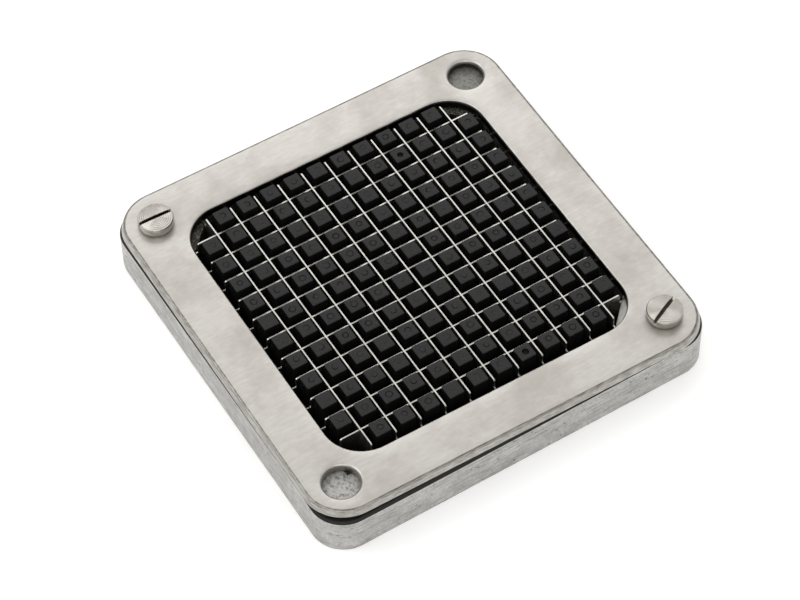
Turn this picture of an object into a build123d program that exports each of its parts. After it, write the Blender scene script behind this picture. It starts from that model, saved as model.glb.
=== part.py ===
"""Vegetable dicer: a 3/8 inch blade assembly standing nested on its push block.

The blade assembly is a cast frame that carries two crossed sets of blades under a
pressed cover plate.  The push block is a moulded block of fingers, one finger for
each cell of the blade grid, screwed to a cast carrier.

Frame: millimetres, +Z up.  The origin is the middle of the carrier's underside.
Upper blades run along Y, lower blades run along X.
"""
from build123d import *
from math import sqrt
import os

# ---- driving sizes -----------------------------------------------------------
# blade grid
cell_pitch = 9.525
cells_per_side = 12
blade_thickness = 0.5
blade_height = 12.2
blade_tip_radius = 0.9
blade_end_gap = 4.2
tab_seat = 4.5
tab_lift = 1.7
lower_set_drop = 1.0
lower_tab_drop = 4.4
tab_flange_gap = 0.2
lap_clearance = 0.1
blade_base_gap = 0.7

# cast frame
grid_margin = 2.35
frame_wall_x = 16.3
frame_wall_y = 16.1
frame_corner_radius = 12.0
frame_draft = 0.3
frame_opening_radius = 6.0
frame_edge_chamfer = 0.7
gusset_blade_gap = 1.075
gusset_clearance = 0.5
slot_clearance = 0.1
slot_end_clearance = 0.4
pad_margin = 2.0
channel_width = 6.0
channel_roof = 3.5
channel_inset = 4.2
channel_pad_gap = 3.4

# cover plate
cover_overhang = 0.2
cover_corner_radius = 15.0
cover_thickness = 1.2
cover_bend_radius = 1.6
cover_rim_depth = 2.5
cover_opening_radius = 14.0
cover_flange_depth = 3.5
cover_flange_gap = 0.3
cover_roll_radius = 0.9
cover_below_blades = 0.4
cover_rim_gap = 1.55
cover_turn = -0.5

# corner fixings
corner_hole_inset = 3.4
recess_radius = 6.3
collar_wall = 1.2
collar_depth = 2.9
screw_head_radius = 6.3
screw_head_height = 3.6
screw_head_edge = 0.45
screw_slot_width = 1.15
screw_slot_depth = 1.9
screw_radius = 2.95
screw_floor = 7.9
screw_end_gap = 1.0
screw_fit = 0.05
screw_hole_clearance = 0.9
left_slot_angle = -2.0
right_slot_angle = 24.0
mount_hole_radius = 2.6
mount_hole_depth = 8.0
screw_boss_gap = 1.2

# push block
finger_pitch_shrink = 0.105
finger_root_gap = 2.925
finger_draft = 0.45
finger_stand = 1.8
finger_dish_radius = 1.3
finger_dish_depth = 0.3
block_clearance = 0.8
block_base_radius = 9.0
block_base_thickness = 2.0

# carrier
carrier_thickness = 4.4
carrier_pocket_side = 44.0
carrier_pocket_depth = 1.6
carrier_pocket_radius = 5.0
carrier_rib_width = 14.0
pusher_hole_radius = 3.4
pusher_hole_spacing = 104.0
block_screw_radius = 1.75
block_screw_head_radius = 3.4
block_screw_length = 11.0
block_screw_end_gap = 0.5
block_screw_drive_length = 3.8
block_screw_drive_width = 0.9
block_screw_drive_depth = 1.0
block_screw_boss_wall = 2.0
block_screw_cell = 2.5

# how far cuts run past a solid, and joined solids run into each other
overrun = 1.0

# ---- sizes and places that follow ----------------------------------------------
# heights, from the carrier's underside upwards
block_base_top = carrier_thickness + block_base_thickness
lower_blade_top = block_base_top + blade_base_gap + blade_height
blade_top = lower_blade_top + lower_set_drop
cover_top = blade_top - cover_below_blades
cover_underside = cover_top - cover_thickness
cover_rim_bottom = cover_top - cover_rim_depth
collar_bottom = cover_top - collar_depth
frame_top = cover_rim_bottom - cover_rim_gap
lap_height = blade_top - lower_set_drop - (blade_height - lower_set_drop) / 2
upper_tab_drop = cover_below_blades + cover_flange_depth + tab_flange_gap
finger_height = blade_top + finger_stand - block_base_top
screw_length = cover_top - screw_floor

# widths, from the blade grid outwards
blade_count = cells_per_side - 1
outer_blade = (blade_count - 1) / 2 * cell_pitch
frame_opening = cells_per_side * cell_pitch + 2 * grid_margin
blade_body_half = frame_opening / 2 - blade_end_gap
tab_reach = frame_opening / 2 + tab_seat
gusset_leg = frame_opening - outer_blade - blade_body_half - gusset_blade_gap
frame_width = frame_opening + 2 * frame_wall_x
frame_depth = frame_opening + 2 * frame_wall_y
cover_width = frame_width + 2 * cover_overhang
cover_opening = frame_opening - 2 * (cover_thickness + cover_flange_gap)
corner_hole_offset = frame_opening / 2 + corner_hole_inset
pad_radius = recess_radius + collar_wall + pad_margin
cover_corner_reach = (cover_width / 2 - cover_corner_radius) * sqrt(2)
cover_bend_reach = cover_corner_reach + cover_corner_radius - cover_bend_radius
screw_boss_radius = cover_bend_reach - corner_hole_offset * sqrt(2) - screw_boss_gap
channel_end = corner_hole_offset - pad_radius - channel_pad_gap
finger_pitch = cell_pitch - finger_pitch_shrink
finger_root = cell_pitch - finger_root_gap
finger_top = finger_root - 2 * finger_draft
block_base_side = frame_opening - 2 * block_clearance
corner_signs = {"back": (1, 1), "front": (-1, -1), "left": (-1, 1), "right": (1, -1)}


def corner_place(corner):
    """X and Y of the fixing in one corner."""
    sign_x, sign_y = corner_signs[corner]
    return sign_x * corner_hole_offset, sign_y * corner_hole_offset


def blade_offsets():
    """Distance of each blade of a set from the middle of the grid."""
    middle = (blade_count - 1) / 2
    return [(index - middle) * cell_pitch for index in range(blade_count)]


def prism(width, depth, radius, bottom, top, draft=0.0):
    """Rounded rectangular prism, centred on Z, narrowing upwards with the draft."""
    outline = Pos(0, 0, bottom) * RectangleRounded(width, depth, radius)
    return extrude(outline, top - bottom, taper=draft)


def rod(place, radius, bottom, top):
    """Upright cylinder between two heights."""
    height = top - bottom
    return Pos(place[0], place[1], bottom + height / 2) * Cylinder(radius, height)


def block(x_range, y_range, z_range):
    """Box between pairs of coordinates."""
    middle = [(low + high) / 2 for low, high in (x_range, y_range, z_range)]
    size = [high - low for low, high in (x_range, y_range, z_range)]
    return Pos(*middle) * Box(*size)


# ---- blades ------------------------------------------------------------------
def blade_profile(top, tab_drop):
    """Side view of a blade: a tall body with a lower, stepped tab at each end."""
    bottom = top - blade_height
    tab_top = top - tab_drop
    tab_bottom = bottom + tab_lift
    half = [
        (blade_body_half, top),
        (blade_body_half, tab_top),
        (tab_reach, tab_top),
        (tab_reach, tab_bottom),
        (blade_body_half, tab_bottom),
        (blade_body_half, bottom),
    ]
    mirrored = [(-x, z) for x, z in reversed(half)]
    outline = make_face(Plane.XZ * Polyline(*half, *mirrored, close=True))
    tips = outline.vertices().filter_by(lambda v: abs(v.Z - top) < 0.01)
    return fillet(tips, blade_tip_radius)


def make_blade(top, tab_drop, lap_from_below):
    """Blade along X, half cut away where each blade of the other set crosses it."""
    face = Pos(0, blade_thickness / 2, 0) * blade_profile(top, tab_drop)
    body = extrude(face, blade_thickness, dir=(0, -1, 0))
    half_notch = blade_thickness / 2 + lap_clearance
    if lap_from_below:
        notch_z = (top - blade_height - overrun, lap_height + lap_clearance)
    else:
        notch_z = (lap_height - lap_clearance, top + overrun)
    side = (-blade_thickness, blade_thickness)
    for offset in blade_offsets():
        body -= block((offset - half_notch, offset + half_notch), side, notch_z)
    return body


def make_upper_blades():
    """The set along Y, whose cutting edges run unbroken from end to end."""
    blade = make_blade(blade_top, upper_tab_drop, True)
    return [Pos(offset, 0, 0) * Rot(0, 0, 90) * blade for offset in blade_offsets()]


def make_lower_blades():
    """The set along X, a little lower and notched from above."""
    blade = make_blade(lower_blade_top, lower_tab_drop, False)
    return [Pos(0, offset, 0) * blade for offset in blade_offsets()]


# ---- cast frame --------------------------------------------------------------
def frame_slots():
    """Open slots in the frame's inner walls that the blade tabs sit in."""
    half_slot = blade_thickness / 2 + slot_clearance
    inner = blade_body_half - overrun
    outer = tab_reach + slot_end_clearance
    above = cover_top
    upper_floor = blade_top - blade_height + tab_lift
    lower_floor = lower_blade_top - blade_height + tab_lift
    slots = []
    for offset in blade_offsets():
        across = (offset - half_slot, offset + half_slot)
        for near, far in ((inner, outer), (-outer, -inner)):
            slots.append(block(across, (near, far), (upper_floor, above)))
            slots.append(block((near, far), across, (lower_floor, above)))
    return slots


def frame_opening_cut():
    """Square opening that leaves a gusset across each corner, above the push block."""
    square = Rectangle(frame_opening, frame_opening)
    through = Pos(0, 0, -overrun) * chamfer(square.vertices(), gusset_leg)
    gusset_bottom = block_base_top + gusset_clearance
    seat = prism(frame_opening, frame_opening, frame_opening_radius, -overrun, gusset_bottom)
    return extrude(through, frame_top + 2 * overrun) + seat


def frame_channels():
    """Channels under the four walls, which keep the casting's walls even."""
    top = frame_top - channel_roof
    cuts = []
    for width, turn in ((frame_depth, 0), (frame_width, 90)):
        outer = width / 2 - channel_inset
        for far in (outer, channel_width - outer):
            across = (far - channel_width, far)
            trough = block((-channel_end, channel_end), across, (-overrun, top))
            cuts.append(Rot(0, 0, turn) * trough)
    return cuts


def make_blade_frame():
    """Cast frame: four walls, corner gussets, corner pads, blade slots and fixings."""
    body = prism(frame_width, frame_depth, frame_corner_radius, 0, frame_top, frame_draft)
    body = chamfer(body.edges().group_by(Axis.Z)[-1], frame_edge_chamfer)
    body -= frame_opening_cut()
    for corner in ("back", "front"):
        place = corner_place(corner)
        body += rod(place, pad_radius, frame_top - overrun, collar_bottom)
        body -= rod(place, mount_hole_radius, -overrun, mount_hole_depth)
    for corner in ("left", "right"):
        place = corner_place(corner)
        hole_bottom = cover_top - screw_length - screw_end_gap
        body += rod(place, screw_boss_radius, frame_top - overrun, cover_underside)
        body -= rod(place, screw_radius + screw_fit, hole_bottom, cover_top)
    body -= frame_channels()
    body -= frame_slots()
    return body


# ---- cover plate -------------------------------------------------------------
def cover_collar(corner):
    """Drawn collar that lines the open hole in a corner and stands on the frame."""
    outer_radius = recess_radius + collar_wall
    return rod(corner_place(corner), outer_radius, collar_bottom, cover_top - cover_thickness / 2)


def cover_flange():
    """Turned-down edge around the food opening."""
    outer_width = cover_opening + 2 * cover_thickness
    outer_radius = cover_opening_radius + cover_thickness
    bottom = cover_top - cover_flange_depth
    return prism(outer_width, outer_width, outer_radius, bottom, cover_top - cover_thickness / 2)


def make_cover_plate():
    """Pressed plate with a bent rim, a turned-down opening and corner holes.

    Its screw holes are loose, and it sits turned a little on the frame.
    """
    skin = prism(cover_width, cover_width, cover_corner_radius, cover_rim_bottom, cover_top)
    skin = fillet(skin.edges().group_by(Axis.Z)[-1], cover_bend_radius)
    inner_width = cover_width - 2 * cover_thickness
    inner_radius = cover_corner_radius - cover_thickness
    hollow_bottom = cover_rim_bottom - overrun
    hollow = prism(inner_width, inner_width, inner_radius, hollow_bottom, cover_underside)
    hollow = fillet(hollow.edges().group_by(Axis.Z)[-1], cover_bend_radius - cover_thickness)
    body = skin - hollow
    body += cover_flange()
    for corner in ("back", "front"):
        body += cover_collar(corner)
    above = cover_top + overrun
    body -= prism(cover_opening, cover_opening, cover_opening_radius, 0, above)
    for corner in ("back", "front"):
        body -= rod(corner_place(corner), recess_radius, 0, above)
    body = fillet(opening_edges(body), cover_roll_radius)
    for corner in ("left", "right"):
        hole_radius = screw_radius + screw_hole_clearance
        body -= rod(corner_place(corner), hole_radius, 0, above)
    return Rot(0, 0, cover_turn) * body


def opening_edges(body):
    """Edges of the top face around the food opening and the open corner holes."""
    top_face = body.faces().sort_by(Axis.Z)[-1]
    edges = ShapeList()
    for wire in top_face.inner_wires():
        edges += wire.edges()
    return edges


def make_cover_screw(corner, slot_angle):
    """Slotted cheese-head screw that holds the cover to the frame."""
    place = corner_place(corner)
    head = Pos(0, 0, screw_head_height / 2) * Cylinder(screw_head_radius, screw_head_height)
    head = fillet(head.edges().group_by(Axis.Z)[-1], screw_head_edge)
    shank = Pos(0, 0, -screw_length / 2) * Cylinder(screw_radius, screw_length)
    shank = chamfer(shank.edges().group_by(Axis.Z)[0], screw_radius / 4)
    slot_z = (screw_head_height - screw_slot_depth, screw_head_height + overrun)
    reach = screw_head_radius + overrun
    slot = block((-reach, reach), (-screw_slot_width / 2, screw_slot_width / 2), slot_z)
    body = head + shank - Rot(0, 0, slot_angle) * slot
    return Pos(place[0], place[1], cover_top) * body


# ---- push block --------------------------------------------------------------
def finger_places():
    """Centres of the fingers: one for each cell, except the four corner cells."""
    last = cells_per_side - 1
    middle = last / 2
    places = []
    for column in range(cells_per_side):
        for row in range(cells_per_side):
            if column in (0, last) and row in (0, last):
                continue
            places.append(((column - middle) * finger_pitch, (row - middle) * finger_pitch))
    return places


def block_screw_places():
    """The carrier's screws come up into four of the fingers."""
    offset = block_screw_cell * finger_pitch
    return [(x, y) for x in (-offset, offset) for y in (-offset, offset)]


def make_finger():
    """One finger standing on the base, slimmer at its top, with a shallow dish."""
    root = Rectangle(finger_root, finger_root)
    top = Pos(0, 0, finger_height) * Rectangle(finger_top, finger_top)
    body = loft([root, top])
    dish = Pos(0, 0, finger_height) * Cylinder(finger_dish_radius, 2 * finger_dish_depth)
    return Pos(0, 0, block_base_top) * (body - dish)


def make_finger_block():
    """Moulded base plate with its fingers."""
    body = prism(block_base_side, block_base_side, block_base_radius, carrier_thickness, block_base_top)
    finger = make_finger()
    body += [Pos(x, y, 0) * finger for x, y in finger_places()]
    hole_top = block_screw_length + block_screw_end_gap
    for place in block_screw_places():
        body -= rod(place, block_screw_radius + screw_fit, 0, hole_top)
    return body


def carrier_pockets():
    """Shallow pockets in the underside, with ribs and a flat middle left between them."""
    offset = (carrier_pocket_side + carrier_rib_width) / 2
    side = carrier_pocket_side
    pocket = prism(side, side, carrier_pocket_radius, -overrun, carrier_pocket_depth)
    return [Pos(x, y, 0) * pocket for x in (-offset, offset) for y in (-offset, offset)]


def make_block_carrier():
    """Cast plate under the finger block, of the same outline, pocketed underneath."""
    body = prism(block_base_side, block_base_side, block_base_radius, 0, carrier_thickness)
    body -= carrier_pockets()
    for y in (-pusher_hole_spacing / 2, pusher_hole_spacing / 2):
        body -= rod((0, y), pusher_hole_radius, -overrun, carrier_thickness + overrun)
    for place in block_screw_places():
        boss_radius = block_screw_head_radius + block_screw_boss_wall
        body += rod(place, boss_radius, 0, carrier_thickness)
        body -= block_screw(place, screw_fit)
    return body


def block_screw(place, clearance):
    """Countersunk screw, flush with the carrier's underside, grown by a clearance."""
    head_radius = block_screw_head_radius + clearance
    radius = block_screw_radius + clearance
    head_height = block_screw_head_radius - block_screw_radius
    head = Pos(0, 0, head_height / 2) * Cone(head_radius, radius, head_height)
    shank = rod((0, 0), radius, head_height / 2, block_screw_length + clearance)
    return Pos(place[0], place[1], 0) * (head + shank)


def make_block_screws():
    """The four screws that hold the finger block to its carrier."""
    drive = Box(block_screw_drive_length, block_screw_drive_width, 2 * block_screw_drive_depth)
    drive += Box(block_screw_drive_width, block_screw_drive_length, 2 * block_screw_drive_depth)
    screws = []
    for place in block_screw_places():
        screws.append(block_screw(place, 0) - Pos(place[0], place[1], 0) * drive)
    return Compound(children=screws)


# ---- all sub-parts -----------------------------------------------------------
def make_all():
    """Every node of the assembly by name."""
    nodes = {
        "block_carrier": make_block_carrier(),
        "finger_block": make_finger_block(),
        "block_screws": make_block_screws(),
        "blade_frame": make_blade_frame(),
        "cover_plate": make_cover_plate(),
        "cover_screw_left": make_cover_screw("left", left_slot_angle),
        "cover_screw_right": make_cover_screw("right", right_slot_angle),
    }
    for index, blade in enumerate(make_upper_blades(), start=1):
        nodes[f"upper_blade_{index:02d}"] = blade
    for index, blade in enumerate(make_lower_blades(), start=1):
        nodes[f"lower_blade_{index:02d}"] = blade
    return nodes


os.makedirs("parts", exist_ok=True)
for name, shape in make_all().items():
    export_step(shape, f"parts/{name}.step")
    print(name, round(shape.volume, 1))
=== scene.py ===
"""Looks of the vegetable dicer: its blade assembly standing nested on its push block."""
import math
import random

import bmesh
import bpy
from mathutils import Matrix, Vector, geometry


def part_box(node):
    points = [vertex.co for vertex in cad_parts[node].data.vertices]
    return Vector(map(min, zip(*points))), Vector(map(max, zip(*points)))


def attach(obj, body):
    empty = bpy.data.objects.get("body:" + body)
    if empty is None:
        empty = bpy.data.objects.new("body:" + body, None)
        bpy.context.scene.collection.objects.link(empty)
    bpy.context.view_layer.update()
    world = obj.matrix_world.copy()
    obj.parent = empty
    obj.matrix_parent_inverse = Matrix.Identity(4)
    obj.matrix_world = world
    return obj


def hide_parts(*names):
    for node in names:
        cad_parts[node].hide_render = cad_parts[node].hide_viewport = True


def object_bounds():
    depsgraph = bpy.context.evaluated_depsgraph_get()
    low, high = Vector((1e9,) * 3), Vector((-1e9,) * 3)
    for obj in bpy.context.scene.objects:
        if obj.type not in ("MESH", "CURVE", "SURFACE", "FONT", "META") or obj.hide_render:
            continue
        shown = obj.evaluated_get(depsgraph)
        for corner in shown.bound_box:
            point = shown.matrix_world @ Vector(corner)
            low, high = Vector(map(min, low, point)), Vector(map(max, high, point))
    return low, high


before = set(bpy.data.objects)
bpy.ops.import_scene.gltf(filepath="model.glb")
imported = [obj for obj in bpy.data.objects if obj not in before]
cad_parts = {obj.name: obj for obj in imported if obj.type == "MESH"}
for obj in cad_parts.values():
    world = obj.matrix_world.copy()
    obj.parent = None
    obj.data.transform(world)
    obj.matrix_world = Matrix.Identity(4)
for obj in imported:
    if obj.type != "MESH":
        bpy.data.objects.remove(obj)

cad_low, cad_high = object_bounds()
MM = 0.001
UP = Vector((0, 0, 1))

# ---- sizes in metres: read from the frame where it gives them, else set here ----------
blade_names = [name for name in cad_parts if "_blade_" in name]
upper_blades = sorted(name for name in blade_names if name.startswith("upper"))
cover_low, cover_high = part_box("cover_plate")
finger_low, finger_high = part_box("finger_block")
blade_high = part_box(upper_blades[0])[1]
frame_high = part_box("blade_frame")[1]

cover_overhang = 0.2 * MM
cover_half = frame_high.x + cover_overhang
cover_top = cover_high.z
cover_turn = math.radians(-0.5)
cover_thickness = 1.1 * MM
cover_corner_radius = 15.0 * MM
flange_below_rim = 1.0 * MM
cover_rim = cover_top - cover_low.z - flange_below_rim
cover_slant = 0.8 * MM
cover_bend_radius = 0.9 * MM
cover_lip = 0.25 * MM
cover_flat = cover_slant + cover_bend_radius - cover_lip
frame_land = 15.85 * MM
opening_half = 58.0 * MM
opening_radius = 14.0 * MM
opening_roll = 0.7 * MM
flange_depth = 3.5 * MM
corner_offset = (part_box("cover_screw_right")[0].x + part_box("cover_screw_right")[1].x) / 2
recess_radius = 6.3 * MM
recess_roll = 1.0 * MM
collar_depth = 2.9 * MM
free_corner_rise = 0.75 * MM
open_hole_dish = 0.3 * MM
screw_hole_dish = 0.12 * MM
dish_reach = 1.6 * MM
hole_field = 4.0 * MM
hole_field_clear = 4.6 * MM
grid_spacing = 2.4 * MM
screw_hole_radius = 3.85 * MM
slot_reach = 5.7 * MM
tone_reach = 60 * MM

cell_pitch = (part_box(upper_blades[-1])[0].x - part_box(upper_blades[0])[0].x) / (len(upper_blades) - 1)
cells_per_side = len(upper_blades) + 1
finger_pitch = cell_pitch - 0.105 * MM
finger_top_half = 2.85 * MM
finger_edge = 0.2 * MM
finger_corner_radius = 0.42 * MM
finger_root_half = 3.3 * MM
block_half = finger_high.x
block_bottom = finger_low.z
block_corner_radius = 9 * MM
block_edge = 0.4 * MM
block_top = block_bottom + 2.0 * MM

frame_edge = 0.22 * MM
carrier_edge = 0.6 * MM
blade_edge = 0.13 * MM
left_slot_angle = -2
right_slot_angle = 24


# ---- mesh helpers ------------------------------------------------------------------
def rounded_loop(half_x, half_y, radius, arc_steps, side_steps):
    """Points round a rounded rectangle, counter-clockwise, the same number for any size."""
    points = []
    for quarter in range(4):
        sign_x = (1, -1, -1, 1)[quarter]
        sign_y = (1, 1, -1, -1)[quarter]
        centre_x = sign_x * (half_x - radius)
        centre_y = sign_y * (half_y - radius)
        for step in range(arc_steps + 1):
            angle = math.radians(90 * quarter + 90 * step / arc_steps)
            x = centre_x + radius * math.cos(angle)
            y = centre_y + radius * math.sin(angle)
            points.append((x, y))
        next_angle = math.radians(90 * (quarter + 1))
        next_sign_x = (1, -1, -1, 1)[(quarter + 1) % 4]
        next_sign_y = (1, 1, -1, -1)[(quarter + 1) % 4]
        end_x = next_sign_x * (half_x - radius) + radius * math.cos(next_angle)
        end_y = next_sign_y * (half_y - radius) + radius * math.sin(next_angle)
        start_x, start_y = points[-1]
        for step in range(1, side_steps):
            share = step / side_steps
            points.append((start_x + (end_x - start_x) * share, start_y + (end_y - start_y) * share))
    return points


def circle_loop(centre, radius, steps):
    """Points round a circle, counter-clockwise."""
    angles = [2 * math.pi * step / steps for step in range(steps)]
    return [(centre[0] + radius * math.cos(a), centre[1] + radius * math.sin(a)) for a in angles]


def add_loop(mesh, points, height):
    """Adds a loop of vertices at one height and returns them."""
    return [mesh.verts.new((x, y, height)) for x, y in points]


def bridge(mesh, inner, outer):
    """Faces between two loops of as many vertices; normals face up where outer is outside."""
    count = len(inner)
    for index in range(count):
        after = (index + 1) % count
        mesh.faces.new((inner[index], outer[index], outer[after], inner[after]))


def finish_mesh(mesh, name, smooth_angle=35):
    """Turns a bmesh into an object with smooth faces and sharp edges over an angle."""
    data = bpy.data.meshes.new(name)
    mesh.to_mesh(data)
    mesh.free()
    piece = bpy.data.objects.new(name, data)
    bpy.context.scene.collection.objects.link(piece)
    shade_by_angle(piece, smooth_angle)
    return piece


def shade_by_angle(piece, angle):
    """Smooth shading that keeps edges sharper than the angle crisp."""
    bpy.ops.object.select_all(action="DESELECT")
    piece.select_set(True)
    bpy.context.view_layer.objects.active = piece
    bpy.ops.object.shade_smooth_by_angle(angle=math.radians(angle))


def apply_modifiers(piece):
    """Bakes the modifiers of a piece into its mesh."""
    depsgraph = bpy.context.evaluated_depsgraph_get()
    evaluated = piece.evaluated_get(depsgraph)
    data = bpy.data.meshes.new_from_object(evaluated)
    piece.modifiers.clear()
    piece.data = data


# ---- material helpers ----------------------------------------------------------------
class Surface:
    """A material's node tree with its Principled shader and a few common nodes."""

    def __init__(self, name, turn=0.0):
        self.material = bpy.data.materials.new(name)
        self.material.use_nodes = True
        self.nodes = self.material.node_tree.nodes
        self.links = self.material.node_tree.links
        self.shader = self.nodes["Principled BSDF"]
        turned = self.nodes.new("ShaderNodeMapping")
        turned.inputs["Rotation"].default_value = (0, 0, -turn)
        self.links.new(self.nodes.new("ShaderNodeTexCoord").outputs["Object"], turned.inputs["Vector"])
        self.position = turned.outputs["Vector"]

    def place(self, stretch=(1, 1, 1), shift=(0, 0, 0)):
        """Position on the piece in millimetres, stretched to draw grain out along an axis."""
        mapping = self.nodes.new("ShaderNodeMapping")
        mapping.inputs["Scale"].default_value = [1000 * share for share in stretch]
        mapping.inputs["Location"].default_value = shift
        self.links.new(self.position, mapping.inputs["Vector"])
        return mapping.outputs["Vector"]

    def noise(self, scale, detail=4, roughness=0.5, stretch=(1, 1, 1), shift=(0, 0, 0)):
        """Noise with its scale in features per millimetre."""
        node = self.nodes.new("ShaderNodeTexNoise")
        node.inputs["Scale"].default_value = scale
        node.inputs["Detail"].default_value = detail
        node.inputs["Roughness"].default_value = roughness
        self.links.new(self.place(stretch, shift), node.inputs["Vector"])
        return node.outputs["Fac"]

    def spread(self, value, low, high, to_low=0.0, to_high=1.0):
        """Maps a range of a value onto another range."""
        node = self.nodes.new("ShaderNodeMapRange")
        node.inputs["From Min"].default_value = low
        node.inputs["From Max"].default_value = high
        node.inputs["To Min"].default_value = to_low
        node.inputs["To Max"].default_value = to_high
        self.links.new(value, node.inputs["Value"])
        return node.outputs["Result"]

    def mix(self, share, first, second):
        """Blends two colours, each given as a colour or an output."""
        node = self.nodes.new("ShaderNodeMix")
        node.data_type = "RGBA"
        self.feed(share, node.inputs["Factor"])
        self.feed(first, node.inputs[6])
        self.feed(second, node.inputs[7])
        return node.outputs[2]

    def feed(self, value, socket):
        """Links an output to a socket, or sets the socket's value."""
        if isinstance(value, bpy.types.NodeSocket):
            self.links.new(value, socket)
        elif isinstance(value, tuple):
            socket.default_value = (*value, 1.0)
        else:
            socket.default_value = value

    def math(self, operation, first, second):
        """One arithmetic operation on two values."""
        node = self.nodes.new("ShaderNodeMath")
        node.operation = operation
        self.feed(first, node.inputs[0])
        self.feed(second, node.inputs[1])
        return node.outputs[0]

    def bump(self, heights):
        """Bumps from (height, strength, depth in millimetres), one over another."""
        normal = None
        for height, strength, depth in heights:
            node = self.nodes.new("ShaderNodeBump")
            node.inputs["Strength"].default_value = strength
            node.inputs["Distance"].default_value = depth * MM
            self.links.new(height, node.inputs["Height"])
            if normal is not None:
                self.links.new(normal, node.inputs["Normal"])
            normal = node.outputs["Normal"]
        self.links.new(normal, self.shader.inputs["Normal"])

    def along(self, axis, low, high, to_low=0.0, to_high=1.0):
        """Rises from one value to another between two places on an axis."""
        return self.spread(self.coordinate(axis), low, high, to_low, to_high)

    def within(self, half, blur):
        """High inside an upright square prism about the axis."""
        across = self.math("ABSOLUTE", self.coordinate("X"), 0.0)
        along = self.math("ABSOLUTE", self.coordinate("Y"), 0.0)
        return self.spread(self.math("MAXIMUM", across, along), half + blur, half - blur)

    def past_outline(self, half, radius):
        """Distance outwards from a rounded square, in metres, below zero inside it."""
        squares = []
        for axis in "XY":
            across = self.math("ABSOLUTE", self.coordinate(axis), 0.0)
            over = self.math("SUBTRACT", across, half - radius)
            squares.append(self.math("POWER", self.math("MAXIMUM", over, 0.0), 2.0))
        return self.math("SUBTRACT", self.math("SQRT", self.math("ADD", *squares), 0.0), radius)

    def near(self, place, radius, blur):
        """High inside upright cylinders about the four corner fixings."""
        fold_x = self.math("ABSOLUTE", self.coordinate("X"), 0.0)
        fold_y = self.math("ABSOLUTE", self.coordinate("Y"), 0.0)
        over_x = self.math("POWER", self.math("SUBTRACT", fold_x, place), 2.0)
        over_y = self.math("POWER", self.math("SUBTRACT", fold_y, place), 2.0)
        reach = self.math("SQRT", self.math("ADD", over_x, over_y), 0.0)
        return self.spread(reach, radius + blur, radius - blur)

    def coordinate(self, axis):
        """One coordinate of the place on the piece, in metres."""
        node = self.nodes.new("ShaderNodeSeparateXYZ")
        self.links.new(self.position, node.inputs["Vector"])
        return node.outputs[axis]

    def set(self, **values):
        """Sets sockets of the shader by name, with underscores for spaces."""
        for name, value in values.items():
            self.feed(value, self.shader.inputs[name.replace("_", " ")])


# ---- materials -----------------------------------------------------------------------
def cover_steel():
    """Satin stainless sheet with smudges, faint scratches and short rub marks; painted shade down the
    drawn holes and the opening's flange, over the bent rim and along its crease.
    """
    surface = Surface("cover_steel", cover_turn)
    smudge = surface.spread(surface.noise(0.045, 6, 0.65), 0.44, 0.66)
    rub = surface.noise(0.9, 3, 0.6, stretch=(0.25, 1, 1))
    fine = surface.noise(6, 3, 0.6)
    scratch = surface.spread(surface.noise(2.2, 2, 0.5, stretch=(1, 0.04, 1)), 0.62, 0.72)
    clean = surface.mix(surface.spread(rub, 0.35, 0.7), (0.50, 0.48, 0.45), (0.56, 0.54, 0.515))
    colour = surface.mix(surface.math("MULTIPLY", smudge, 0.6), clean, (0.38, 0.355, 0.32))
    # Painted shade: the drawn hole walls below the flat are darkened, more so towards the back (+Y),
    # where they lie deeper in shade.
    deep = surface.along("Z", cover_top - 0.35 * MM, cover_top - 0.8 * MM)
    at_hole = surface.near(corner_offset, recess_radius + 0.6 * MM, 0.1 * MM)
    hole_shade_mask = surface.math("MULTIPLY", deep, at_hole)
    painted_shade_fade = surface.along("Y", -tone_reach, tone_reach)
    hole_shade_tone = surface.mix(painted_shade_fade, (0.26, 0.25, 0.23), (0.07, 0.07, 0.062))
    colour = surface.mix(hole_shade_mask, colour, hole_shade_tone)
    # Painted shade: the turned-down flange inside the opening is darkened almost to black.
    opening_shade_mask = surface.math("MULTIPLY", deep, surface.within(opening_half + 0.5 * MM, 0.1 * MM))
    colour = surface.mix(opening_shade_mask, colour, (0.03, 0.028, 0.024))
    # Painted shade: the bent rim past the flat is darker than the flat, broken by streaks.
    past = surface.past_outline(cover_half, cover_corner_radius)
    streak = surface.noise(1.3, 3, 0.65, stretch=(0.2, 0.2, 1.5), shift=(4, 9, 2))
    rim_shade_tone = surface.mix(surface.spread(streak, 0.38, 0.62), (0.28, 0.265, 0.24), (0.47, 0.455, 0.43))
    colour = surface.mix(surface.spread(past, -cover_flat, 0.3 * MM - cover_flat), colour, rim_shade_tone)
    # Painted shade: a thin dark line along the bend where the flat turns down into the rim.
    crease_shade = surface.math("ABSOLUTE", surface.math("ADD", past, cover_flat - 0.1 * MM), 0.0)
    crease_shade = surface.spread(crease_shade, 0.18 * MM, 0.34 * MM, 1.0, 0.0)
    crease_shade = surface.math("MULTIPLY", crease_shade, surface.spread(rub, 0.3, 0.6, 0.95, 0.5))
    colour = surface.mix(crease_shade, colour, (0.10, 0.095, 0.085))
    surface.set(Base_Color=colour, Metallic=1.0)
    smudge_rough = surface.spread(smudge, 0, 1, 0.36, 0.44)
    rough = surface.math("ADD", smudge_rough, surface.spread(rub, 0, 1, -0.03, 0.05))
    surface.set(Roughness=rough)
    surface.bump([(fine, 0.25, 0.02), (rub, 0.18, 0.05), (scratch, 0.15, 0.02)])
    return surface.material


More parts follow.
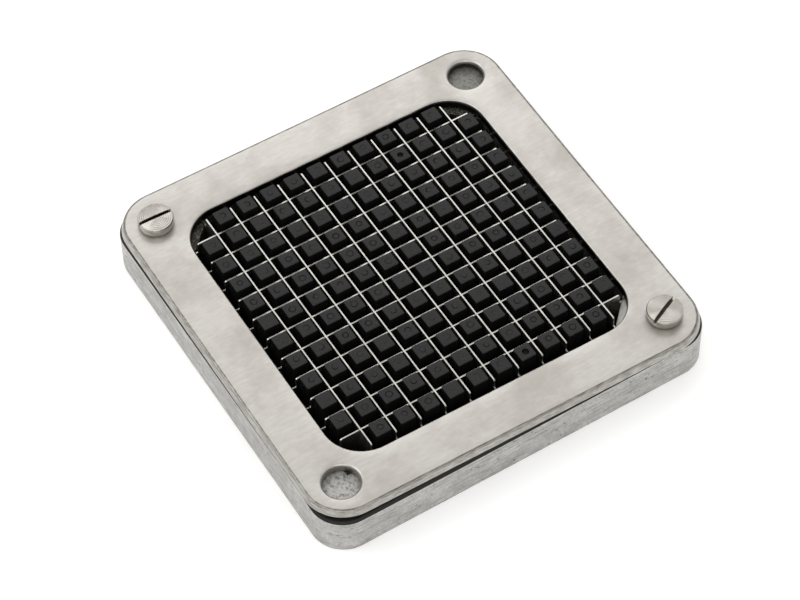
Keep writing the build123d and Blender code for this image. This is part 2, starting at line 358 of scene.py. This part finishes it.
def cast_aluminium(name, on_frame):
    """Cast and lightly tumbled aluminium: mottled, streaked and pitted."""
    surface = Surface(name)
    mottle = surface.noise(0.16, 6, 0.7)
    grain = surface.noise(0.9, 6, 0.75)
    drag = surface.noise(1.1, 4, 0.6, stretch=(0.1, 0.1, 1))
    pits = surface.spread(surface.noise(0.6, 3, 0.6, shift=(7, 3, 5)), 0.36, 0.30)
    tone = surface.mix(surface.spread(mottle, 0.38, 0.64), (0.43, 0.42, 0.405), (0.58, 0.575, 0.565))
    tone = surface.mix(surface.spread(drag, 0.50, 0.62, 0.0, 0.6), tone, (0.28, 0.265, 0.24))
    tone = surface.mix(surface.spread(grain, 0.38, 0.52, 0.5, 0.0), tone, (0.22, 0.21, 0.19))
    tone = surface.mix(surface.math("MULTIPLY", pits, 0.8), tone, (0.07, 0.065, 0.06))
    # On the frame only: painted shade under the cover, in the holes and inside the opening, and a worn
    # bright arris.
    if on_frame:
        tone = frame_shade_and_wear(surface, tone, grain)
    surface.set(Base_Color=tone, Metallic=0.75)
    surface.set(Roughness=surface.spread(grain, 0.3, 0.7, 0.40, 0.62))
    surface.bump([(mottle, 0.3, 0.3), (drag, 0.35, 0.2), (grain, 0.9, 0.25), (pits, -0.6, 0.2)])
    return surface.material


def frame_shade_and_wear(surface, tone, grain):
    """Painted shade on the frame under the cover, in the corner holes and inside the opening, and wear
    bright along its arris.
    """
    across = surface.math("SUBTRACT", surface.coordinate("X"), surface.coordinate("Y"))
    open_depth = surface.spread(across, -0.02, 0.02, 0.7 * MM, 1.3 * MM)
    open_depth = surface.math("SUBTRACT", open_depth, surface.spread(across, 0.05, 0.13, 0, 0.7 * MM))
    below = surface.math("SUBTRACT", frame_land, surface.coordinate("Z"))
    below = surface.math("SUBTRACT", below, open_depth)
    arris = surface.spread(below, 0.6 * MM, 0.1 * MM)
    worn = surface.math("MULTIPLY", arris, surface.spread(grain, 0.4, 0.6, 0.2, 0.8))
    tone = surface.mix(worn, tone, (0.76, 0.76, 0.75))
    # Painted shade: the frame's top face under the cover is near black, as in the cover's shadow.
    tone = surface.mix(surface.spread(below, 0.05 * MM, -0.1 * MM), tone, (0.03, 0.028, 0.025))
    # The hole floors: painted shade darker towards the back (+Y), with dark spots from the grain.
    painted_shade_fade = surface.along("Y", -tone_reach, tone_reach)
    seat_shade_tone = surface.mix(painted_shade_fade, (0.50, 0.49, 0.47), (0.27, 0.27, 0.25))
    seat_shade_tone = surface.mix(surface.spread(grain, 0.38, 0.54, 0.85, 0.0), seat_shade_tone, (0.12, 0.12, 0.11))
    tone = surface.mix(surface.along("Z", frame_land + 0.6 * MM, frame_land + 0.9 * MM), tone, seat_shade_tone)
    # Painted shade inside the opening, broken by streaks, with a painted lit face at the corner where X
    # is high and Y low.
    streak = surface.spread(surface.noise(1.4, 3, 0.6, stretch=(1, 1, 0.1)), 0.5, 0.68)
    opening_shade_tone = surface.mix(streak, (0.04, 0.035, 0.028), (0.20, 0.19, 0.17))
    opening_shade_tone = surface.mix(surface.spread(across, 0.1, 0.106), opening_shade_tone, (0.5, 0.5, 0.48))
    return surface.mix(surface.within(opening_half + 1.6 * MM, 0.2 * MM), tone, opening_shade_tone)


def blade_steel():
    """Ground blade steel, with fine marks along the blade."""
    surface = Surface("blade_steel")
    ground = surface.noise(3.0, 3, 0.6, stretch=(0.15, 0.15, 1.5))
    marks = surface.spread(ground, 0.35, 0.65)
    surface.set(Base_Color=surface.mix(marks, (0.5, 0.49, 0.46), (0.66, 0.65, 0.61)))
    surface.set(Metallic=1.0, Roughness=surface.spread(ground, 0.3, 0.7, 0.24, 0.38))
    surface.bump([(ground, 0.2, 0.02)])
    return surface.material


def finger_plastic():
    """Black moulded plastic: grey grain on the finger tops, painted shade making the sides black down
    between the fingers.
    """
    surface = Surface("finger_plastic")
    grain = surface.noise(1.6, 5, 0.7)
    cloud = surface.noise(0.25, 3, 0.6)
    top_grain_tone = surface.mix(surface.spread(grain, 0.35, 0.65), (0.007, 0.007, 0.007), (0.022, 0.022, 0.022))
    # Painted shade: below the tops the finger sides turn near black and less specular, as in the shade
    # between the fingers.
    top = surface.along("Z", finger_high.z - 0.5 * MM, finger_high.z - 0.28 * MM)
    surface.set(Base_Color=surface.mix(top, (0.003, 0.0028, 0.0026), top_grain_tone))
    surface.set(Specular_IOR_Level=surface.spread(top, 0, 1, 0.11, 0.28))
    surface.set(Roughness=surface.spread(grain, 0.3, 0.7, 0.45, 0.62))
    surface.bump([(grain, 0.5, 0.08), (cloud, 0.15, 0.15)])
    return surface.material


def turned_steel(name, centre):
    """Polished screw steel with fine turning rings about the screw's axis, and painted shade down the
    driver slot.
    """
    surface = Surface(name)
    rings = surface.nodes.new("ShaderNodeTexWave")
    rings.wave_type = "RINGS"
    rings.rings_direction = "Z"
    rings.inputs["Scale"].default_value = 0.45
    rings.inputs["Distortion"].default_value = 0.6
    rings.inputs["Detail"].default_value = 2
    shift = (-centre.x / MM, -centre.y / MM, 0)
    surface.links.new(surface.place(shift=shift), rings.inputs["Vector"])
    marks = surface.noise(0.4, 4, 0.6)
    colour = surface.mix(surface.spread(marks, 0.35, 0.7), (0.42, 0.40, 0.365), (0.50, 0.48, 0.445))
    # Painted shade: the driver slot is darkened below the head's top.
    slot = surface.along("Z", cad_high.z - 0.32 * MM, cad_high.z - 0.6 * MM)
    slot = surface.math("MULTIPLY", slot, surface.near(corner_offset, slot_reach, 0.1 * MM))
    surface.set(Base_Color=surface.mix(slot, colour, (0.16, 0.14, 0.115)), Metallic=1.0)
    surface.set(Roughness=surface.spread(marks, 0.3, 0.7, 0.14, 0.24))
    surface.bump([(rings.outputs["Fac"], 1.0, 0.07), (marks, 0.25, 0.1)])
    return surface.material


# ---- cover plate ----------------------------------------------------------------------
CORNERS = {"back": (1, 1), "front": (-1, -1), "left": (-1, 1), "right": (1, -1)}


def corner_place(corner):
    """X and Y of one corner's fixing."""
    sign_x, sign_y = CORNERS[corner]
    return sign_x * corner_offset, sign_y * corner_offset


def plate_rise(x, y):
    """Height of the pressed plate over its plane: sprung up at its free corners, dished at its holes."""
    rise = 0.0
    for corner in CORNERS:
        centre_x, centre_y = corner_place(corner)
        free = corner in ("back", "front")
        if free:
            reach = (x * centre_x + y * centre_y) / (2 * corner_offset * corner_offset)
            rise += free_corner_rise * max(reach, 0) ** 2
        reach = math.hypot(x - centre_x, y - centre_y) - recess_radius
        dish = open_hole_dish if free else screw_hole_dish
        rise -= dish * math.exp(-max(reach, 0) / dish_reach)
    return rise


def cover_grid(spacing):
    """Points spread over the flat of the plate, clear of its edges and holes."""
    inner = opening_half + opening_roll + spacing * 0.6
    outer = cover_half - cover_flat - spacing * 0.6
    count = int(outer / spacing)
    points = []
    for column in range(-count, count + 1):
        for row in range(-count, count + 1):
            x, y = column * spacing, row * spacing
            if not inside_rounded(x, y, outer, cover_corner_radius - cover_flat):
                continue
            if inside_rounded(x, y, inner, opening_radius + opening_roll):
                continue
            clear = recess_radius + hole_field_clear
            if any(math.dist((x, y), corner_place(corner)) < clear for corner in CORNERS):
                continue
            points.append((x, y))
    return points


def inside_rounded(x, y, half, radius):
    """Whether a point is inside a rounded square."""
    over_x = max(abs(x) - (half - radius), 0)
    over_y = max(abs(y) - (half - radius), 0)
    return math.hypot(over_x, over_y) <= radius


def cover_outline(offset, height, mesh):
    """Loop of the plate's outer outline, moved inwards by an offset."""
    half = cover_half - offset
    points = rounded_loop(half, half, cover_corner_radius - offset, 16, 44)
    return add_loop(mesh, points, height)


def opening_outline(offset, height, mesh):
    """Loop of the food opening's outline, moved outwards by an offset."""
    half = opening_half + offset
    points = rounded_loop(half, half, opening_radius + offset, 16, 36)
    return add_loop(mesh, points, height)


def cover_plate():
    """Pressed cover: flat, bent rim, turned-down opening and drawn corner holes."""
    mesh = bmesh.new()
    outer_flat = cover_outline(cover_flat, cover_top, mesh)
    inner_flat = opening_outline(opening_roll, cover_top, mesh)
    hole_flats = {}
    for corner in CORNERS:
        hole_flats[corner] = hole_rings(mesh, corner)
    fill_flat(mesh, outer_flat, inner_flat, list(hole_flats.values()))
    previous = outer_flat
    tilt = math.atan2(cover_slant, cover_rim)
    for step in range(1, 9):
        angle = (math.pi / 2 - tilt) * step / 8
        offset = cover_slant + cover_bend_radius * (1 - math.sin(angle)) - cover_lip
        loop = cover_outline(offset, cover_top - cover_bend_radius * (1 - math.cos(angle)), mesh)
        bridge(mesh, previous, loop)
        previous = loop
    loop = cover_outline(0, cover_top - cover_rim, mesh)
    bridge(mesh, previous, loop)
    previous = inner_flat
    for step in range(1, 6):
        angle = math.radians(90 * step / 5)
        offset = opening_roll * (1 - math.sin(angle))
        loop = opening_outline(offset, cover_top - opening_roll * (1 - math.cos(angle)), mesh)
        bridge(mesh, loop, previous)
        previous = loop
    loop = opening_outline(0, cover_top - flange_depth, mesh)
    bridge(mesh, loop, previous)
    for vertex in mesh.verts:
        vertex.co.z += plate_rise(vertex.co.x, vertex.co.y)
    bmesh.ops.rotate(mesh, verts=mesh.verts, cent=(0, 0, 0), matrix=Matrix.Rotation(cover_turn, 3, "Z"))
    piece = finish_mesh(mesh, "pressed_cover", 50)
    solidify = piece.modifiers.new("thickness", "SOLIDIFY")
    solidify.thickness = cover_thickness
    solidify.offset = -1
    solidify.use_even_offset = True
    apply_modifiers(piece)
    shade_by_angle(piece, 50)
    piece.data.materials.append(cover_steel())
    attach(piece, "blade_assembly")
    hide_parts("cover_plate")
    return piece


def hole_rings(mesh, corner):
    """Rings down one corner hole; returns the ring that joins the flat of the plate."""
    place = corner_place(corner)
    drawn = corner in ("back", "front")
    radius = recess_radius if drawn else screw_hole_radius
    steps = 64
    flat = add_loop(mesh, circle_loop(place, recess_radius + hole_field, steps), cover_top)
    previous = flat
    for reach in (3.2, 2.4, 1.8, 1.3):
        loop = add_loop(mesh, circle_loop(place, recess_radius + reach * MM, steps), cover_top)
        bridge(mesh, loop, previous)
        previous = loop
    if drawn:
        for step in range(7):
            angle = math.radians(90 * step / 6)
            ring = radius + recess_roll * (1 - math.sin(angle))
            height = cover_top - recess_roll * (1 - math.cos(angle))
            loop = add_loop(mesh, circle_loop(place, ring, steps), height)
            bridge(mesh, loop, previous)
            previous = loop
        loop = add_loop(mesh, circle_loop(place, radius, steps), cover_top - collar_depth)
        bridge(mesh, loop, previous)
    else:
        loop = add_loop(mesh, circle_loop(place, radius, steps), cover_top)
        bridge(mesh, loop, previous)
    return flat


def fill_flat(mesh, outer, inner, holes):
    """Triangles over the flat of the plate, between its outline, its opening and its holes."""
    loops = [outer, inner, *holes]
    known = [vertex for loop in loops for vertex in loop]
    points = [Vector(vertex.co.xy) for vertex in known]
    edges = []
    start = 0
    for loop in loops:
        edges += [(start + index, start + (index + 1) % len(loop)) for index in range(len(loop))]
        start += len(loop)
    points += [Vector(point) for point in cover_grid(grid_spacing)]
    grown = [point * 1000 for point in points]
    result = geometry.delaunay_2d_cdt(grown, edges, [], 0, 1e-5)
    made_points, triangles, sources = result[0], result[2], result[3]
    vertices = []
    for point, source in zip(made_points, sources):
        first = source[0] if source else None
        if first is not None and first < len(known):
            vertices.append(known[first])
        else:
            vertices.append(mesh.verts.new((point.x * MM, point.y * MM, cover_top)))
    for triangle in triangles:
        middle = sum((made_points[index] for index in triangle), Vector((0, 0))) / 3 * MM
        if on_flat(middle):
            mesh.faces.new([vertices[index] for index in triangle])


def on_flat(point):
    """Whether a point lies on the flat of the plate."""
    outer = cover_half - cover_flat
    if not inside_rounded(*point, outer, cover_corner_radius - cover_flat):
        return False
    if inside_rounded(*point, opening_half + opening_roll, opening_radius + opening_roll):
        return False
    inner_ring = recess_radius + hole_field - 0.01 * MM
    return all(math.dist(point, corner_place(corner)) > inner_ring for corner in CORNERS)


# ---- finger block ----------------------------------------------------------------------
def finger_mark(mesh, rim, place, top, chance):
    """Round mould mark on a finger's top: a shallow groove, deeper on one side."""
    steps = len(rim)
    turn = chance.uniform(0, 2 * math.pi)
    radius = chance.uniform(1.05, 1.3) * MM
    groove = chance.choice((0.1, 0.18, 0.26, 0.34)) * MM
    crescent = chance.choice((0.3, 0.8, 1.0))
    sink = chance.choice((0.0, 0.0, 0.05, 0.1)) * MM
    shift_x = place[0] + chance.uniform(-0.25, 0.25) * MM
    shift_y = place[1] + chance.uniform(-0.25, 0.25) * MM
    if chance.random() < 0.02:
        sink = 0.6 * MM
    previous = rim
    for share, depth, floor in ((1.25, 0, 0), (1.08, 0, 0), (0.98, 1, 0), (0.84, 1, 1), (0.74, 0, 1)):
        loop = []
        for index, (x, y) in enumerate(circle_loop((shift_x, shift_y), radius * share, steps)):
            angle = 2 * math.pi * index / steps - turn
            local = groove * (1 - crescent * (0.5 - 0.5 * math.cos(angle)))
            loop.append(mesh.verts.new((x, y, top - depth * local - floor * sink)))
        bridge(mesh, loop, previous)
        previous = loop
    middle = mesh.verts.new((shift_x, shift_y, top - sink))
    for index in range(steps):
        mesh.faces.new((previous[index], previous[(index + 1) % steps], middle))


def add_finger(mesh, place, chance):
    """One tapered finger with rounded edges and its mould mark."""
    top = finger_high.z - chance.uniform(0, 0.06) * MM
    levels = [(finger_root_half, block_top - 0.2 * MM, 0.5 * MM)]
    levels.append((finger_top_half + 0.012 * MM, top - finger_edge, finger_corner_radius))
    for step in range(1, 5):
        angle = math.radians(90 * step / 4)
        inset = finger_edge * (1 - math.cos(angle))
        height = top - finger_edge * (1 - math.sin(angle))
        levels.append((finger_top_half - inset, height, finger_corner_radius))
    previous = None
    for half, height, radius in levels:
        narrowed = max(finger_top_half - half, 0)
        points = rounded_loop(half, half, max(radius - narrowed, 0.1 * MM), 3, 5)
        loop = add_loop(mesh, [(x + place[0], y + place[1]) for x, y in points], height)
        if previous:
            bridge(mesh, loop, previous)
        previous = loop
    rim = aligned_to_circle(previous, place)
    finger_mark(mesh, rim, place, top, chance)


def aligned_to_circle(loop, place):
    """The loop's vertices, starting from the one nearest to the +X direction."""
    angles = [math.atan2(v.co.y - place[1], v.co.x - place[0]) % (2 * math.pi) for v in loop]
    start = angles.index(min(angles))
    return loop[start:] + loop[:start]


def finger_block():
    """The moulded block: base plate and one finger for each cell but the corner ones."""
    chance = random.Random(12)
    mesh = bmesh.new()
    outline = rounded_loop(block_half, block_half, block_corner_radius, 8, 8)
    inner_half = block_half - block_edge
    inner_outline = rounded_loop(inner_half, inner_half, block_corner_radius - block_edge, 8, 8)
    bottom = add_loop(mesh, outline, block_bottom)
    side = add_loop(mesh, outline, block_top - block_edge)
    top = add_loop(mesh, inner_outline, block_top)
    bridge(mesh, side, bottom)
    bridge(mesh, top, side)
    mesh.faces.new(top)
    mesh.faces.new(bottom[::-1])
    last = cells_per_side - 1
    for column in range(cells_per_side):
        for row in range(cells_per_side):
            if column in (0, last) and row in (0, last):
                continue
            place = ((column - last / 2) * finger_pitch, (row - last / 2) * finger_pitch)
            add_finger(mesh, place, chance)
    piece = finish_mesh(mesh, "moulded_fingers", 40)
    piece.data.materials.append(finger_plastic())
    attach(piece, "push_block")
    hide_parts("finger_block")
    return piece


# ---- castings ----------------------------------------------------------------------------
def softened_casting(node, name, body, material, edge):
    """A casting with the CAD shape and its edges rounded."""
    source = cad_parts[node]
    piece = bpy.data.objects.new(name, source.data.copy())
    piece.data.materials.clear()
    bpy.context.scene.collection.objects.link(piece)
    weld = piece.modifiers.new("weld", "WELD")
    weld.merge_threshold = 0.002 * MM
    flat = piece.modifiers.new("flats", "DECIMATE")
    flat.decimate_type = "DISSOLVE"
    flat.angle_limit = math.radians(1)
    bevel = piece.modifiers.new("edges", "BEVEL")
    bevel.width = edge
    bevel.segments = 3
    bevel.limit_method = "ANGLE"
    bevel.angle_limit = math.radians(40)
    apply_modifiers(piece)
    shade_by_angle(piece, 30)
    piece.data.materials.append(material)
    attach(piece, body)
    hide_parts(node)
    return piece


# ---- screws --------------------------------------------------------------------------------
def cover_screw(side, slot_angle):
    """Slotted screw: a slightly domed, turned head on its shank."""
    node = f"cover_screw_{side}"
    low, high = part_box(node)
    centre = (low + high) / 2
    radius = (high.x - low.x) / 2
    top = high.z
    seat = cover_top
    shank = 2.95 * MM
    roll = 0.55 * MM
    rim_drop = 0.24 * MM
    profile = [(0.0, top), (radius * 0.35, top - 0.01 * MM), (radius * 0.62, top - 0.05 * MM)]
    profile += [(radius * 0.82, top - 0.13 * MM), (radius - roll, top - rim_drop)]
    for step in range(1, 6):
        angle = math.radians(90 * step / 5)
        out = radius - roll * (1 - math.sin(angle))
        profile.append((out, top - rim_drop - roll * (1 - math.cos(angle))))
    profile += [(radius, seat + 0.35 * MM), (radius - 0.25 * MM, seat + 0.02 * MM)]
    profile.append((shank, seat + 0.02 * MM))
    profile += [(shank, low.z + 0.8 * MM), (shank * 0.75, low.z), (0.0, low.z)]
    mesh = bmesh.new()
    vertices = [mesh.verts.new((x, 0, z)) for x, z in profile]
    edges = [mesh.edges.new(pair) for pair in zip(vertices, vertices[1:])]
    parts = vertices + edges
    bmesh.ops.spin(mesh, geom=parts, cent=(0, 0, 0), axis=UP, angle=math.tau, steps=96, use_merge=True)
    bmesh.ops.remove_doubles(mesh, verts=mesh.verts, dist=1e-7)
    bmesh.ops.recalc_face_normals(mesh, faces=mesh.faces)
    piece = finish_mesh(mesh, f"slotted_screw_{side}", 40)
    slot_cut(piece, radius, top, slot_angle)
    piece.data.transform(Matrix.Translation((centre.x, centre.y, 0)))
    shade_by_angle(piece, 40)
    piece.data.materials.clear()
    piece.data.materials.append(turned_steel(f"turned_steel_{side}", centre))
    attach(piece, f"{side}_screw")
    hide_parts(node)
    return piece


def slot_cut(piece, radius, top, slot_angle):
    """Cuts the driver slot across a head, with small broken edges."""
    half_width = 0.575 * MM
    broken = 0.14 * MM
    depth = 1.9 * MM
    mouth = half_width + broken
    side = [(half_width, top - depth), (half_width, top - broken - 0.1 * MM)]
    side += [(mouth, top), (mouth, top + MM)]
    outline = [(-y, z) for y, z in side] + side[::-1]
    mesh = bmesh.new()
    ends = []
    for x in (-radius * 1.3, radius * 1.3):
        ends.append([mesh.verts.new((x, y, z)) for y, z in outline])
    mesh.faces.new(ends[0])
    mesh.faces.new(ends[1][::-1])
    bridge(mesh, ends[1], ends[0])
    bmesh.ops.recalc_face_normals(mesh, faces=mesh.faces)
    turn = Matrix.Rotation(math.radians(slot_angle), 3, "Z")
    bmesh.ops.rotate(mesh, verts=mesh.verts, cent=(0, 0, 0), matrix=turn)
    data = bpy.data.meshes.new("slot_cutter")
    mesh.to_mesh(data)
    mesh.free()
    cutter = bpy.data.objects.new("slot_cutter", data)
    bpy.context.scene.collection.objects.link(cutter)
    cut = piece.modifiers.new("slot", "BOOLEAN")
    cut.operation = "DIFFERENCE"
    cut.solver = "EXACT"
    cut.object = cutter
    apply_modifiers(piece)
    bpy.data.objects.remove(cutter)


# ---- carried-over CAD nodes ------------------------------------------------------------------
def dress_cad_nodes():
    """Blades and hidden screws keep their CAD shape, with fine broken edges and a finish."""
    steel = blade_steel()
    for name in blade_names:
        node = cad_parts[name]
        set_material(node, steel)
        edge = node.modifiers.new("ground edges", "BEVEL")
        edge.width = blade_edge
        edge.segments = 1
        edge.limit_method = "ANGLE"
        edge.angle_limit = math.radians(40)
    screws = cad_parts["block_screws"]
    set_material(screws, turned_steel("plated_screws", Vector((0, 0, 0))))


def set_material(node, material):
    """Gives a CAD node one material."""
    node.data.materials.clear()
    node.data.materials.append(material)


# ---- stage ----------------------------------------------------------------------------------
def floor():
    """Plain pale floor with soft texture, under the whole view."""
    mesh = bmesh.new()
    bmesh.ops.create_grid(mesh, x_segments=8, y_segments=8, size=3.0)
    data = bpy.data.meshes.new("floor")
    mesh.to_mesh(data)
    mesh.free()
    ground = bpy.data.objects.new("floor", data)
    bpy.context.scene.collection.objects.link(ground)
    ground.location.z = cad_low.z - 0.05 * MM
    surface = Surface("pale_floor")
    tone = surface.spread(surface.noise(0.01, 2), 0.3, 0.7)
    surface.set(Base_Color=surface.mix(tone, (0.93, 0.93, 0.93), (0.95, 0.95, 0.95)), Roughness=0.9)
    surface.shader.inputs["Specular IOR Level"].default_value = 0.0
    surface.shader.inputs["Emission Color"].default_value = (1, 1, 1, 1)
    surface.shader.inputs["Emission Strength"].default_value = 0.22
    data.materials.append(surface.material)


def area_light(name, place, target, size, power, colour=(1, 1, 1)):
    """Soft rectangular light aimed at a point."""
    data = bpy.data.lights.new(name, "AREA")
    data.shape = "RECTANGLE"
    data.size, data.size_y = size
    data.energy = power
    data.color = colour
    light = bpy.data.objects.new(name, data)
    bpy.context.scene.collection.objects.link(light)
    light.location = place
    light.rotation_mode = "QUATERNION"
    light.rotation_quaternion = (Vector(target) - Vector(place)).to_track_quat("-Z", "Y")
    return light


def studio_light():
    """White surroundings, darker towards the horizon, and large soft lamps."""
    world = bpy.data.worlds.new("studio")
    world.use_nodes = True
    nodes, links = world.node_tree.nodes, world.node_tree.links
    direction = nodes.new("ShaderNodeTexCoord")
    height = nodes.new("ShaderNodeSeparateXYZ")
    rise = nodes.new("ShaderNodeMapRange")
    rise.inputs["From Min"].default_value = 0.12
    rise.inputs["From Max"].default_value = 0.42
    rise.inputs["To Min"].default_value = 0.10
    rise.inputs["To Max"].default_value = 0.9
    links.new(direction.outputs["Generated"], height.inputs["Vector"])
    links.new(height.outputs["Z"], rise.inputs["Value"])
    links.new(rise.outputs["Result"], nodes["Background"].inputs["Strength"])
    nodes["Background"].inputs["Color"].default_value = (1.0, 0.995, 0.98, 1.0)
    bpy.context.scene.world = world
    area_light("key", (-0.7, 0.5, 1.1), (0, 0, 0), (0.9, 0.9), 3.5)
    area_light("back", (0.6, 1.0, 0.9), (0, 0, 0), (1.2, 0.7), 3)
    area_light("fill", (-0.5, -0.9, 0.7), (0, 0, 0), (0.8, 0.6), 2)


def camera():
    """Camera with a long lens, looking down at the front corner."""
    azimuth = math.radians(-30.53)
    elevation = math.radians(53.59)
    distance = 950.8 * MM
    roll = math.radians(1.41)
    target = Vector((-9.16 * MM, -10.48 * MM, blade_high.z))
    flat = math.cos(elevation)
    back = Vector((math.sin(azimuth) * flat, -math.cos(azimuth) * flat, math.sin(elevation)))
    level = UP.cross(back).normalized()
    upright = back.cross(level)
    up = upright * math.cos(roll) + level * math.sin(roll)
    right = up.cross(back)
    data = bpy.data.cameras.new("camera")
    data.lens = 126.66
    data.sensor_width = 36
    view = bpy.data.objects.new("camera", data)
    bpy.context.scene.collection.objects.link(view)
    turn = Matrix((right, up, back)).transposed()
    view.matrix_world = Matrix.Translation(target + back * distance) @ turn.to_4x4()
    bpy.context.scene.camera = view


# ---- the whole scene -------------------------------------------------------------------------
cover_plate()
finger_block()
metal = cast_aluminium("cast_frame_metal", True)
softened_casting("blade_frame", "cast_frame", "blade_assembly", metal, frame_edge)
metal = cast_aluminium("cast_carrier_metal", False)
softened_casting("block_carrier", "cast_carrier", "push_block", metal, carrier_edge)
cover_screw("left", left_slot_angle)
cover_screw("right", right_slot_angle)
dress_cad_nodes()
floor()
studio_light()
camera()
bpy.context.scene.view_settings.view_transform = "Standard"
